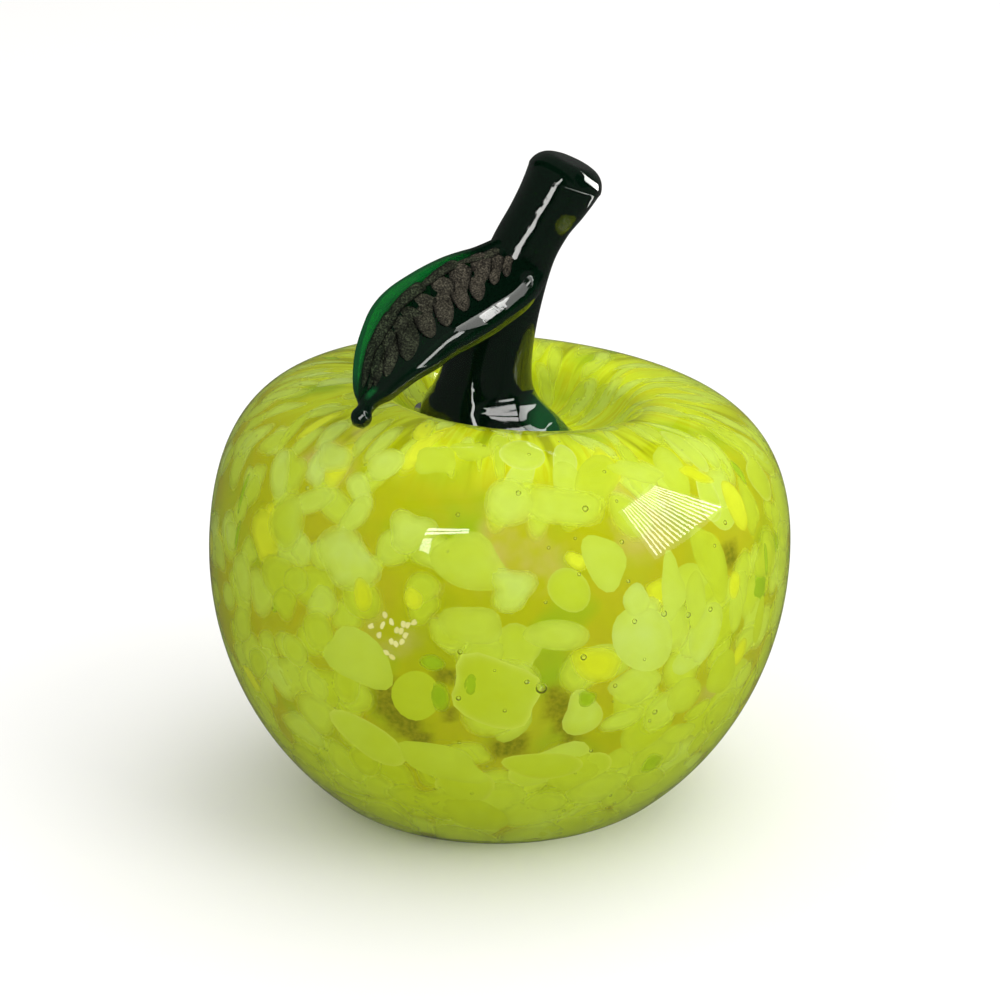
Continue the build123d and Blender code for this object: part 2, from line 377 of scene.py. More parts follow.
# Overlay of clear glass, and the seed bubbles in it: picture places and radii of those that stand out, and
# the numbers for all the others. A mottle is given as scale, detail, contrast and middle
overlay = {
    "rows": 210, "around": 208, "ends": (0.006, 0.993),
    "baseRounding": 2.4, "pontilRadius": 9.0, "pontilDepth": 0.7, "pontilBelow": 0.3,
    "ripple": 0.05,                  # depth of the hand-blown waves
    "tint": (0.975, 1.0, 0.93, 1.0), "waves": (38.0, 1.5, 1.0), "bumpStrength": 0.03, "bumpHeight": 0.0016,
    "patches": (90.0, 4.0, 3.0, 0.56), "polish": 0.004, "dull": 0.035,
}
seeds = {
    "seen": ((542, 691, 0.95), (585, 658, 0.5), (667, 614, 0.5), (690, 616, 0.45), (637, 622, 0.4),
             (519, 490, 0.42), (586, 508, 0.5), (713, 610, 0.4), (459, 654, 0.4), (656, 714, 0.45),
             (458, 700, 0.4), (617, 687, 0.35), (624, 541, 0.35), (605, 470, 0.3), (729, 522, 0.35),
             (505, 712, 0.3), (459, 745, 0.3), (611, 797, 0.3), (564, 813, 0.3), (580, 575, 0.3),
             (630, 581, 0.3), (576, 538, 0.25), (618, 498, 0.25), (546, 603, 0.28)),
    "more": 70, "shares": (0.3, 0.8), "radii": (0.13, 0.36), "depths": (0.75, 1.35), "cover": 0.25,
    "rows": 9, "around": 14,
}


def bumped(tree, height, look):
    return node(tree, "ShaderNodeBump", {"Height": height, "Strength": look["bumpStrength"],
                                         "Distance": look["bumpHeight"]}).outputs["Normal"]


def worn(tree, look):
    # roughness of polished glass with dull patches
    return ramp(tree, mottle(tree, *look["patches"]), ((0.0, look["polish"]), (1.0, look["dull"])))


def weighted(tree, *terms):
    # sum of the values, each times its share
    total, *others = (maths(tree, "MULTIPLY", value, share) for value, share in terms)
    for other in others:
        total = maths(tree, "ADD", total, other)
    return total


def letLightIn(tree, shader):
    # the glass, but light on its way to what lies under it passes straight through
    shadowRay = node(tree, "ShaderNodeLightPath").outputs["Is Shadow Ray"]
    clear = node(tree, "ShaderNodeBsdfTransparent").outputs["BSDF"]
    return node(tree, "ShaderNodeMixShader", {"Fac": shadowRay, 1: shader, 2: clear}).outputs["Shader"]


def clearGlass():
    # fire-polished: clear, with faint hand-blown waves and a few dull patches
    material, tree = newMaterial("clearOverlayGlass")
    waves = mottle(tree, *overlay["waves"])
    glass = node(tree, "ShaderNodeBsdfPrincipled", {
        "Base Color": overlay["tint"], "IOR": 1.5, "Metallic": 0.0, "Transmission Weight": 1.0,
        "Roughness": worn(tree, overlay), "Normal": bumped(tree, waves, overlay)})
    showing(tree, letLightIn(tree, glass.outputs["BSDF"]))
    return material


def overlayMesh():
    # outer surface over share and turn, pressed in by faint waves, with the rod's hollow underneath as a
    # paraboloid, and the seed bubbles as balls turned inside out
    o = overlay
    share, turn = np.meshgrid(np.linspace(*o["ends"], o["rows"]), allRound(o["around"]), indexing="ij")
    wave = 0.5 + 0.25 * np.sin(3 * turn + 9 * share) + 0.25 * np.sin(5 * turn - 17 * share + 1)
    inset = o["ripple"] * wave * np.sin(pi * share) ** 2
    rings = onApple(share, turn, inset, 0.0, o["baseRounding"])
    centre = -apple["bellyHeight"] * sin(radians(apple["lean"]))
    out = np.hypot(rings[..., 0] - centre, rings[..., 1]) / o["pontilRadius"]
    hollow = o["pontilDepth"] * np.clip(1 - out**2, 0, 1)
    rings[..., 2] += np.where(share < o["pontilBelow"], hollow, 0)
    meshes = [closedTube(rings)]
    places = [underPixel(right, down) + (radius,) for right, down, radius in seeds["seen"]]
    places += zip(*(draws.uniform(*limits, seeds["more"])
                    for limits in (seeds["shares"], (-pi, pi), seeds["radii"])))
    seedPoints, seedFaces = turnedInside(closedTube(ball(seeds["rows"], seeds["around"])))
    shallow, deep = seeds["depths"]
    for share, turn, radius in places:
        depth = max(shallow, radius + seeds["cover"]) + draws.uniform(0, deep - shallow)
        meshes.append((seedPoints * radius + onApple(np.array(share), np.array(turn), depth), seedFaces))
    return joined(meshes)


# Chips: picture places of the ones that stand out (right, down, length, width, lean to the right in degrees,
# softness), the open places between them, and the numbers for all the others
chips = {
    "lime": ((608, 561, 58, 40, -30, 0.1), (572, 593, 46, 38, -50, 0.15), (678, 588, 60, 29, -8, 0.1),
             (702, 602, 60, 25, -5, 0.15), (641, 603, 34, 28, 0, 0.2), (719, 563, 84, 36, -12, 0.3),
             (649, 643, 78, 58, -50, 0.15), (712, 635, 60, 44, 20, 0.3), (566, 500, 46, 84, 10, 0.8),
             (510, 497, 54, 50, 0, 0.8), (764, 622, 50, 20, 5, 0.1), (728, 676, 50, 44, 20, 0.2),
             (639, 465, 58, 26, -55, 0.4), (513, 590, 40, 46, 0, 0.8), (354, 663, 54, 80, 15, 0.1),
             (413, 702, 58, 46, -15, 0.05), (495, 698, 70, 96, 20, 0.05), (435, 452, 44, 38, 0, 0.15),
             (472, 444, 32, 36, 0, 0.3), (384, 457, 44, 34, 0, 0.6), (330, 450, 36, 50, 20, 0.9),
             (407, 530, 44, 46, 0, 0.7), (468, 563, 54, 72, 15, 0.35), (523, 447, 50, 44, -20, 0.2),
             (560, 640, 30, 66, 10, 0.5), (600, 470, 40, 70, -60, 0.4), (742, 610, 44, 26, 0, 0.3),
             (690, 700, 40, 46, 30, 0.4), (640, 690, 36, 60, 0, 0.5), (585, 720, 50, 40, -20, 0.2),
             (545, 772, 36, 80, 5, 0.1), (440, 770, 46, 90, 12, 0.1), (365, 745, 50, 80, 25, 0.1),
             (470, 628, 40, 60, 0, 0.4), (340, 560, 60, 70, 0, 0.8), (280, 520, 60, 50, 0, 0.8)),
    "yellow": ((741, 502, 52, 30, -15, 0.2), (741, 586, 26, 20, 0, 0.5), (357, 597, 34, 20, -15, 0.6),
               (410, 601, 24, 18, 0, 0.7), (600, 668, 34, 60, 20, 0.7), (580, 560, 18, 26, 0, 0.8),
               (745, 655, 30, 22, 20, 0.4), (700, 470, 40, 18, -50, 0.5)),
    "green": ((237, 492, 40, 9, -5, 0.7), (232, 535, 30, 8, 0, 0.7), (492, 452, 16, 26, 0, 0.7),
              (771, 560, 34, 8, 0, 0.5), (437, 702, 34, 22, 0, 0.8), (470, 690, 30, 16, 0, 0.8),
              (430, 668, 18, 26, 0, 0.8), (590, 705, 22, 20, 0, 0.8), (655, 768, 30, 28, 0, 0.9),
              (325, 660, 30, 10, -10, 0.7), (695, 605, 26, 4, -18, 0.3)),
    "cream": tuple((right, down, 7, 5, lean, 0.1) for right, down, lean in (
        (387, 624, -20), (388, 645, -35), (383, 657, -60), (398, 635, 20), (392, 634, 5), (404, 629, 30),
        (366, 630, 60), (378, 629, 10), (380, 617, -10), (398, 645, 25), (402, 639, 30), (389, 661, -60),
        (392, 648, -30), (400, 627, 20), (410, 625, 40), (374, 639, 15))),
    "open": ((388, 638, 14), (560, 548, 22), (640, 572, 15), (693, 548, 13), (603, 635, 20), (448, 497, 26),
             (520, 548, 26), (588, 600, 14), (735, 552, 11), (620, 610, 12), (545, 620, 16), (672, 540, 12),
             (455, 600, 14), (722, 690, 10), (380, 500, 16), (390, 610, 12)),
    "lowest": 0.05, "highest": 0.93, "ends": (0.004, 0.985), "leastRadius": 4.0, "floor": 3.0,
    "rowStep": 4.3, "aroundStep": 5.0, "jitter": 0.75,     # spacing, and how far off it a chip may lie
    "lengths": (3.0, 5.4), "slimmest": 0.62,               # half sizes on the belly
    "growth": 0.35, "growsFrom": (0.45, -0.15),            # and how much larger they get lower down
    "streakLengths": (4.0, 6.5), "streakWidths": (0.8, 2.0),   # half sizes drawn out towards the bowl
    "streakFrom": 0.62, "streakFull": 0.76, "streakTilt": 0.22, "sparse": 0.35,
    "crisp": 0.25, "crispSoftness": (0.1, 0.4), "softness": (0.8, 1.4),
    "leftSide": -0.1, "leftSoftness": (1.1, 1.6),          # left of that cosine of the turn
    "shallow": 2.3, "named": 0.12, "strewn": 0.15, "deep": 2.62,   # depths of the layers that they lie in
    "yellowShare": 0.045, "greenShare": 0.035, "greenSize": 0.5,
    "thick": 0.05, "sides": 20, "uneven": 0.13,            # edge: its corners, and how far off an oval it is
    # rings: share of the size, lift in thicknesses, how far it counts as rim, and whether it is seen
    "rings": ((0.0, 1.0, 0.0, 1.0), (0.42, 1.0, 0.0, 1.0), (0.72, 0.9, 0.36, 1.0), (1.0, 0.0, 1.0, 1.0),
              (0.97, -0.1, 0.0, 0.0), (0.0, -0.25, 0.0, 0.0)),
    # painted light and shade at a chip's rim: lighter on lime and cream chips, a shadow line on green and
    # yellow
    "paintedRim": 0.4, "paintedRimBelow": 0.3, "edge": (0.2, 0.6),   # share of the crisp ones with a painted rim
}
# Their glass: tints by position and the colour of the painted rim, as seen, and what all colours share
chipLook = {
    # second colour of each: the painted rim, lighter for lime and cream (painted light), darker for green
    # and yellow (painted shadow)
    "green": (((0.0, 146, 180, 28), (1.0, 172, 200, 44)), (110, 145, 25)),
    "yellow": (((0.0, 202, 210, 24), (1.0, 222, 232, 64)), (190, 190, 20)),
    "lime": (((0.0, 182, 196, 34), (0.35, 190, 208, 56), (0.7, 197, 217, 92), (1.0, 203, 225, 142)),
             (220, 232, 140)),
    "cream": (((0.0, 222, 214, 140), (1.0, 250, 246, 214)), (240, 230, 170)),
    "tint": 0.42, "cloud": (260.0, 3.0, 1.6), "cloudShare": 0.2,
    "patch": (28.0, 1.0, 2.4), "patchShare": 0.38,
    "paintedRimPower": 5.0, "fadePower": 1.1, "roughness": 0.45,
    "low": (0.055, 28.0, (1.0, 0.98, 0.4, 1.0)),           # fuller yellow below that height in metres
    "high": (0.052, 14.0, (1.1, 1.06, 1.7, 1.0)),          # lighter and bluer above that one
}


def chipGlass(colourName):
    # opaque coloured glass: each chip has its own tint, a cloudy inside, a painted rim and a melted edge
    c = chipLook
    stops, paintedRimColour = c[colourName]
    material, tree = newMaterial(colourName + "ChipGlass")
    cloud, patch = mottle(tree, *c["cloud"]), mottle(tree, *c["patch"])
    shade = weighted(tree, (pointValue(tree, "tint"), c["tint"]), (cloud, c["cloudShare"]),
                     (patch, c["patchShare"]))
    rim = pointValue(tree, "rim")
    # painted rim: lighter on lime and cream chips as painted light, darker on green and yellow ones as a
    # painted shadow line
    edge = maths(tree, "MULTIPLY", maths(tree, "POWER", rim, c["paintedRimPower"]), pointValue(tree, "edge"))
    colour = blendColours(tree, edge, ramp(tree, shade, stops), fromScreen(*paintedRimColour))
    height = node(tree, "ShaderNodeSeparateXYZ", {"Vector": objectPlace(tree)}).outputs["Z"]
    (lowest, lowSlope, lowTint), (highest, highSlope, highTint) = c["low"], c["high"]
    low = maths(tree, "MULTIPLY", maths(tree, "SUBTRACT", lowest, height), lowSlope)
    colour = blendColours(tree, low, colour, lowTint, "MULTIPLY")
    high = maths(tree, "MULTIPLY", maths(tree, "SUBTRACT", height, highest), highSlope)
    colour = blendColours(tree, high, colour, highTint, "MULTIPLY")
    fade = maths(tree, "MULTIPLY", maths(tree, "POWER", rim, c["fadePower"]), pointValue(tree, "soft"))
    solid = maths(tree, "MAXIMUM", maths(tree, "SUBTRACT", 1.0, fade), 0.0)
    body = node(tree, "ShaderNodeBsdfPrincipled", {
        "Base Color": colour, "Roughness": c["roughness"], "Specular IOR Level": 0.0,
        "Alpha": maths(tree, "MULTIPLY", solid, pointValue(tree, "shown"))})
    showing(tree, body.outputs["BSDF"])
    return material


def pictureToChip(right, down, length, width, lean, softness):
    # a named chip as a row of numbers: place under the pixel, half sizes from pixels, tilt and softness
    return *underPixel(right, down), length * perPixel / 2, width * perPixel / 2, radians(lean), softness


def strewnChips():
    # rows of places along the outline, each jittered; near the bowl the chips are long, narrow and in line
    # with the outline, on the belly they are round and lie any way
    c = chips
    rows = np.arange(c["lowest"], c["highest"], c["rowStep"] / outlineLength)
    radius = np.interp(rows, outlineShare, outline[:, 0])
    counts = np.maximum(3, (2 * pi * radius / c["aroundStep"]).astype(int))
    share = np.repeat(rows, counts)
    place = np.arange(len(share)) - np.repeat(np.cumsum(counts) - counts, counts)
    turn = 2 * pi * place / np.repeat(counts, counts)
    size = len(share)

    def pick(limits):
        return draws.uniform(*limits, size)

    jitter = (-c["jitter"], c["jitter"])
    share = share + pick(jitter) * c["rowStep"] / outlineLength
    turn = turn + pick(jitter) * 2 * pi / np.repeat(counts, counts)
    drawn = fadeIn(share, c["streakFrom"], c["streakFull"] - c["streakFrom"])
    big = 1 + c["growth"] * fadeIn(share, *c["growsFrom"])
    shortest, longest = c["lengths"]
    length = shortest + (longest - shortest) * pick((0, 1)) ** 1.3       # more short ones than long ones
    width = length * pick((c["slimmest"], 1.0))
    length = (length * (1 - drawn) + pick(c["streakLengths"]) * drawn) * big
    width = (width * (1 - drawn) + pick(c["streakWidths"]) * drawn) * big
    tilt = pick((-pi / 2, pi / 2)) * (1 - drawn) + draws.normal(0, c["streakTilt"], size) * drawn
    softness = np.where(pick((0, 1)) < c["crisp"], pick(c["crispSoftness"]), pick(c["softness"]))
    leftSoftness = np.maximum(softness, pick(c["leftSoftness"]))
    softness = np.where(np.cos(turn) < c["leftSide"], leftSoftness, softness)
    return np.stack((share, turn, length, width, tilt, softness), 1)


def clearOf(rows, places, part):
    # the chips that leave the places open: farther off than the place's radius and that part of the chip
    keep = np.ones(len(rows), bool)
    here = onApple(rows[:, 0], rows[:, 1], chips["shallow"])
    for right, down, radius in places:
        gap = np.linalg.norm(here - layerPlace(right, down, chips["shallow"]), axis=1)
        keep &= gap > radius * perPixel + part * (rows[:, 2] + rows[:, 3]) / 2
    return rows[keep]


def chipMesh(rows, depth):
    # every chip at once: its edge is a circle with soft lobes, stretched, tilted and laid on its layer; the
    # rings from the middle point above to the one below are the edge made smaller and lifted
    c = chips
    sides, size = c["sides"], len(rows)
    share, turn, length, width, tilt, softness = (column[:, None] for column in rows.T)
    around = allRound(sides)[None, :]
    edge = 1 + sum(draws.normal(0, c["uneven"] / lobes**0.7, (size, 1))
                   * np.cos(lobes * around + draws.uniform(0, 2 * pi, (size, 1))) for lobes in (2, 3, 4))
    axisRadius = np.maximum(np.interp(share, outlineShare, outline[:, 0]), c["leastRadius"])
    rings, shares, turns = [], [], []
    for out, lift, *_ in c["rings"]:
        along = length * out * edge * np.cos(around)
        across = width * out * edge * np.sin(around)
        up = along * np.cos(tilt) - across * np.sin(tilt)
        side = along * np.sin(tilt) + across * np.cos(tilt)
        inset = depth[:, None] - c["thick"] * lift + 0 * around
        here = slice(None) if out else slice(0, 1)
        shares.append(np.clip(share + up / outlineLength, *c["ends"])[:, here])
        turns.append((turn + side / axisRadius)[:, here])
        rings.append(onApple(shares[-1], turns[-1], inset[:, here],
                             c["floor"] + inset[:, here] - c["shallow"]))
    points = np.concatenate(rings, 1)
    normals = outwardAt(np.clip(np.concatenate(shares, 1), 0.01, 0.98), np.concatenate(turns, 1))
    each = points.shape[1]
    points, normals = points.reshape(-1, 3), normals.reshape(-1, 3)
    flip = np.dot(np.cross(points[2] - points[1], points[1] - points[0]),
                  points[0] - (0, 0, apple["bellyHeight"])) > 0
    step = np.arange(sides)
    after = (step + 1) % sides
    lastRing = 1 + 3 * sides
    kinds = [(1, (0 * step, 1 + step, 1 + after))]
    kinds += [(way, (first + step, first + sides + step, first + sides + after, first + after))
              for first, way in ((1, 1), (1 + sides, 1), (1 + 2 * sides, -1))]
    kinds += [(-1, (0 * step + lastRing + sides, lastRing + after, lastRing + step))]
    faces, cornerNormals = [], []
    for way, kind in kinds:
        corners = (np.stack(kind, 1) + np.arange(size)[:, None, None] * each).reshape(-1, len(kind))
        corners = corners[:, ::-1] if flip else corners
        faces += corners.tolist()
        cornerNormals.append(way * normals[corners.ravel()])      # the underside looks the other way
    rim, shown = (np.repeat(column, (1, *(sides,) * 4, 1)) for column in np.array(c["rings"]).T[2:])
    attributes = {"rim": np.tile(rim, size), "shown": np.tile(shown, size),
                  "tint": np.repeat(draws.uniform(0, 1, size), each),
                  "soft": np.repeat(softness[:, 0], each)}
    # some crisp chips get a painted rim: painted light on the pale colours, a painted shadow line on the
    # darker ones
    paintedRim = (draws.uniform(0, 1, size) < c["paintedRim"]) & (softness[:, 0] < c["paintedRimBelow"])
    attributes["edge"] = np.repeat(np.where(paintedRim, draws.uniform(*c["edge"], size), 0.0), each)
    return points, faces, attributes, np.concatenate(cornerNormals)


# Inner bubble: the depths and floors of its outer and inner wall, picture places and radii where the
# hollow's shade is painted in dark and where it is hazy, and its colours as seen
gather = {
    "walls": ((2.75, 3.8), (5.2, 8.3)), "rows": 150, "around": 150, "ends": (0.006, 0.985),
    "streakFrom": 0.69, "streakFull": 0.77, "streakSpread": (9, 9, 5), "markReach": 1.7, "markSlope": 1.6,
    "hollow": ((381, 697, 11), (389, 715, 13), (403, 731, 12), (418, 748, 9), (512, 752, 11), (500, 757, 8),
               (556, 703, 8), (566, 717, 11), (575, 731, 11), (573, 745, 7), (443, 682, 7), (738, 556, 9),
               (449, 720, 6)),
    "haze": ((388, 638, 16), (520, 545, 30), (640, 505, 30), (536, 560, 20), (448, 612, 16), (330, 445, 26),
             (725, 690, 18)),
    "clouds": (55.0, 3.0, 2.2),
    "warm": ((0.0, 166, 175, 16), (0.35, 178, 182, 20), (0.62, 180, 178, 30), (1.0, 174, 186, 36)),
    "streaked": ((0.36, 160, 168, 16), (0.44, 196, 208, 30), (0.52, 206, 222, 48), (0.58, 200, 204, 24),
                 (0.66, 210, 226, 60)),
    "greenPatches": (75.0, 2.0, 5.0, 0.63), "green": (150, 180, 30),
    "hazePatches": (180.0, 3.0, 1.4, 0.75), "hazeColour": (212, 190, 140),
    # painted shade: the shaded hollow, dark and speckled, laid over the amber where marked
    "grains": (1500.0, 2.0, 2.0), "paintedHollowShade": ((0.0, 112, 116, 12), (1.0, 158, 154, 30)), "roughness": 0.4,
}


def amberGlass():
    # amber over a dim hollow: olive and greenish in clouds, streaked near the bowl, hazy in places, and with
    # painted shade, dark and speckled, where the shaded hollow would show through
    g = gather
    material, tree = newMaterial("amberGatherGlass")
    colour = ramp(tree, mottle(tree, *g["clouds"]), g["warm"])
    streakPlace = node(tree, "ShaderNodeAttribute", attribute_name="streakPlace").outputs["Vector"]
    streaks = node(tree, "ShaderNodeTexNoise", {"Scale": 1.0, "Detail": 3.0, "Vector": streakPlace})
    streaked = ramp(tree, streaks.outputs["Fac"], g["streaked"])
    colour = blendColours(tree, pointValue(tree, "drawn"), colour, streaked)
    colour = blendColours(tree, mottle(tree, *g["greenPatches"]), colour, fromScreen(*g["green"]))
    haze = maths(tree, "MULTIPLY", pointValue(tree, "haze"), mottle(tree, *g["hazePatches"]))
    colour = blendColours(tree, haze, colour, fromScreen(*g["hazeColour"]))
    paintedHollowShade = ramp(tree, mottle(tree, *g["grains"]), g["paintedHollowShade"])
    # painted shade of the hollow blended over the amber where marked
    body = node(tree, "ShaderNodeBsdfPrincipled", {
        "Base Color": blendColours(tree, pointValue(tree, "hollow"), colour, paintedHollowShade),
        "Roughness": g["roughness"], "Specular IOR Level": 0.0})
    showing(tree, body.outputs["BSDF"])
    return material


def bubbleMesh():
    # an outer surface under the chips and the wall of the hollow inside it, as one shell; the marks for haze
    # and for the painted shade of the hollow fall off with the distance from their places
    g = gather
    share, turn = np.meshgrid(np.linspace(*g["ends"], g["rows"]), allRound(g["around"]), indexing="ij")
    outer, inner = (closedTube(onApple(share, turn, inset, floor)) for inset, floor in g["walls"])
    points, faces = joined((outer, turnedInside(inner)))
    marks = {}
    for label in ("hollow", "haze"):
        marks[label] = np.zeros(len(points))
        for right, down, radius in g[label]:
            there = layerPlace(right, down, g["walls"][0][0])
            gap = np.linalg.norm(points - there, axis=1) / (radius * perPixel)
            strength = np.clip((g["markReach"] - gap) * g["markSlope"], 0, 1)
            marks[label] = np.maximum(marks[label], strength)
    share, turn = (np.tile(np.concatenate((grid.ravel(), grid[0, :1], grid[-1, :1])), 2)
                   for grid in (share, turn))
    marks["drawn"] = fadeIn(share, g["streakFrom"], g["streakFull"] - g["streakFrom"])
    marks["streakPlace"] = np.stack((np.cos(turn), np.sin(turn), share), 1) * g["streakSpread"]
    return points, faces, marks


# Dark green glass of the stem and the leaf: the pieces with their absorption per metre, and what they share
bottle = {
    "density": {"stem": 3200.0, "leaf": 2000.0, "rim": 9000.0}, "depth": (0.0, 0.55, 0.08, 1.0),
    # lit: painted light, the green glow of light through thin glass, laid in as colour where marked
    "dark": (0.012, 0.06, 0.028, 1.0), "lit": (0.03, 0.55, 0.15, 1.0), "through": 0.9,
    "grain": (1400.0, 3.0, 2.0), "waves": (120.0, 2.0, 1.0), "bumpStrength": 0.12, "bumpHeight": 0.0004,
    "patches": (200.0, 4.0, 3.0, 0.6), "polish": 0.008, "dull": 0.08,
}


def bottleGlass(pieceName):
    # deep green transparent glass: the colour comes from its depth, with painted light, a bright green glow,
    # where marked; faint waves, a grain where it is marked, and a few dull patches
    b = bottle
    material, tree = newMaterial(pieceName + "Glass")
    grain = maths(tree, "MULTIPLY", mottle(tree, *b["grain"]), pointValue(tree, "grain"))
    height = maths(tree, "ADD", grain, mottle(tree, *b["waves"]))
    glass = node(tree, "ShaderNodeBsdfPrincipled", {
        "Base Color": blendColours(tree, pointValue(tree, "strip"), b["dark"], b["lit"]),
        "Roughness": worn(tree, b), "Normal": bumped(tree, height, b),
        "IOR": 1.52, "Metallic": 0.0, "Transmission Weight": b["through"]})
    depth = node(tree, "ShaderNodeVolumeAbsorption", {"Color": b["depth"],
                                                      "Density": b["density"][pieceName]})
    showing(tree, glass.outputs["BSDF"], depth.outputs["Volume"])
    return material


stem = {
    "rootHeight": 55.0, "height": 44.92, "lean": 12.3, "radius": 5.6, "footRadius": 12.6,
    "placeX": -1.4, "placeY": 1.0, "endTilt": 24.0, "polish": 3.2, "seat": 0.12,
    # height, lean, girth and foot's flare of the sections, as in the build
    "sections": ((0.0, 0.0, 1.0, 1.0), (0.055, 0.0, 1.0, 0.98), (0.11, -0.05, 1.0, 0.8),
                 (0.185, -0.12, 1.0, 0.48), (0.255, -0.07, 1.0, 0.25), (0.36, 0.01, 1.0, 0.12),
                 (0.51, 0.16, 1.0, 0.01), (0.69, 0.39, 0.9, 0.0), (0.8, 0.6, 0.88, 0.0),
                 (0.88, 0.78, 0.97, 0.0), (0.94, 0.9, 1.04, 0.0), (1.0, 1.0, 1.06, 0.0)),
    "flutes": 7, "fluteDepth": 0.22, "footFlutes": 1.6, "shaftFlutes": 0.4, "twist": 1.3,
    "rows": 190, "around": 96, "endSteps": 16,
    # stretches, start and width: of the flare where sections lie level, of the height where the end tilts
    "level": (0.05, 0.3), "tilted": (0.9, 0.1),
    # closing rings of the end: their step, and shares of its radius
    "capStep": 0.012, "cap": (0.66, 0.33, 0.08),
    # stretches of height and of the place across: grain at the left foot, a painted green glow in the right
    # one
    "grain": ((62.0, -4.0), (2.0, -6.0)), "strip": ((66.0, -4.0), (3.0, 3.0)),
}


def bowlHeight(radius):
    # height of the outer surface inside the crest at a radius from the axis: the outline read backwards
    inside = outlineShare > 0.8
    order = np.argsort(outline[inside, 0])
    return np.interp(radius, outline[inside, 0][order], outline[inside, 1][order])


def stemMesh():
    # circles carried along the leaning rod: level in the foot, square to the rod in the shaft, tilted at the
    # end, with shallow twisted flutes, the end rounded by a quarter circle, and the underside on the bowl
    s = stem
    height, lean, girth, flare = smoothTrack(s["sections"], s["rows"]).T
    place = np.stack((s["placeX"] + s["lean"] * lean, np.full(s["rows"], s["placeY"]),
                      s["rootHeight"] + s["height"] * height), 1)
    ahead = unit(np.gradient(place, axis=0))
    level = fadeIn(flare, *s["level"])[:, None]
    tilted = fadeIn(height, *s["tilted"])[:, None]
    end = np.array((sin(radians(s["endTilt"])), 0, cos(radians(s["endTilt"]))))
    ahead = ahead * (1 - level) + np.array((0, 0, 1)) * level
    ahead = unit(ahead * (1 - tilted) + end * tilted)
    radius = s["radius"] * girth + (s["footRadius"] - s["radius"]) * flare
    drop = np.linspace(0, pi / 2, s["endSteps"])[1:-1]
    endRadius = radius[-1] - s["polish"] * (1 - np.cos(drop))
    backed = place[-1] - ahead[-1] * s["polish"]
    keep = ((place - backed) @ ahead[-1]) < 0
    rounded = backed + ahead[-1] * (s["polish"] * np.sin(drop))[:, None]
    caps = rounded[-1] + ahead[-1] * (s["capStep"] * np.arange(1, 1 + len(s["cap"])))[:, None]
    added = len(drop) + len(caps)
    place = np.concatenate((place[keep], rounded, caps))
    radius = np.concatenate((radius[keep], endRadius, endRadius[-1] * np.array(s["cap"])))
    flare = np.concatenate((flare[keep], np.zeros(added)))
    ahead = np.concatenate((ahead[keep], np.repeat(ahead[-1:], added, 0)))
    around = allRound(s["around"])[None, :]
    across = np.array((0, 1, 0))
    up = np.cross(ahead, across)
    flute = 1 - s["fluteDepth"] / 10 * (1 + np.cos(s["flutes"] * around + s["twist"] * place[:, 2:] / 10))
    foot = flare[:, None] * s["footFlutes"]
    shallow = 1 - s["shaftFlutes"] + s["shaftFlutes"] * flute
    spread = radius[:, None] * (flute * foot + (1 - foot) * shallow)
    rings = (place[:, None] + spread[..., None] * (np.cos(around)[..., None] * across
                                                   + np.sin(around)[..., None] * up[:, None]))
    side, back, up = standUp(rings)
    out = np.hypot(side, back)
    seated = np.maximum(up, bowlHeight(out) + s["seat"])
    points, faces = closedTube(leanOver(side, back, np.where(out < apple["crestRadius"], seated, up)))
    # painted light: a green glow in the foot's right side; grain on its left
    marks = {label: fadeIn(points[:, 2], *s[label][0]) * fadeIn(points[:, 0], *s[label][1])
             for label in ("grain", "strip")}
    return points, faces, marks


leaf = {
    "start": (3.4, -3.2, 86.2), "reach": 23.5, "forward": 24.4, "drop": 18.3,
    "width": 15.8, "thickness": 4.4, "bead": 1.5, "across": (0.7, -0.56, -0.44),
    # reach, forward run, drop, width and thickness of the sections, as in the build
    "sections": ((0.0, 0.0, 0.0, 0.66, 0.95), (0.16, 0.09, 0.14, 0.86, 1.0),
                 (0.33, 0.19, 0.22, 0.98, 1.0), (0.48, 0.32, 0.29, 1.0, 0.95),
                 (0.62, 0.44, 0.37, 0.97, 0.88), (0.73, 0.58, 0.48, 0.86, 0.8),
                 (0.83, 0.71, 0.61, 0.66, 0.75), (0.92, 0.86, 0.78, 0.38, 0.7)),
    # the bead at the tip: run, and share of its size
    "beadSections": ((0.955, 0.925, 0.88, 0.85), (0.982, 0.967, 0.945, 1.0), (1.0, 1.0, 1.0, 0.62)),
    # section, across and up: rolled near edge, midrib groove, thin far edge, and back along the underside
    "profile": ((0.5, -0.04), (0.47, 0.25), (0.36, 0.4), (0.22, 0.3), (0.05, 0.2), (-0.08, 0.1),
                (-0.16, 0.2), (-0.34, 0.28), (-0.46, 0.16), (-0.5, 0.0), (-0.38, -0.24),
                (-0.14, -0.36), (0.12, -0.44), (0.36, -0.48), (0.48, -0.28)),
    "rows": 260, "around": 180,
    # stretches of the run: where the section becomes round, and where the painted glow on the thin far edge
    # rises and fades
    "round": (0.86, 0.06), "litFrom": (0.12, 0.2), "litTo": (0.92, -0.1), "litSide": (-0.31, -0.06),
    # painted glow of light beside the bead: middle and half size along the run and across
    "patch": ((0.875, 0.025), (0.04, 0.1)),
}
# Rolled near edge: run of its ends, middle in shares of width and thickness, half sizes, how far it covers
rolled = {
    "from": 0.0, "to": 0.88, "rows": 200, "around": 40, "rounding": 0.06, "taper": 0.3, "thinnest": 0.04,
    "side": 0.372, "rise": -0.03, "halfAcross": 0.126, "halfUp": 0.455, "over": 0.05,
}
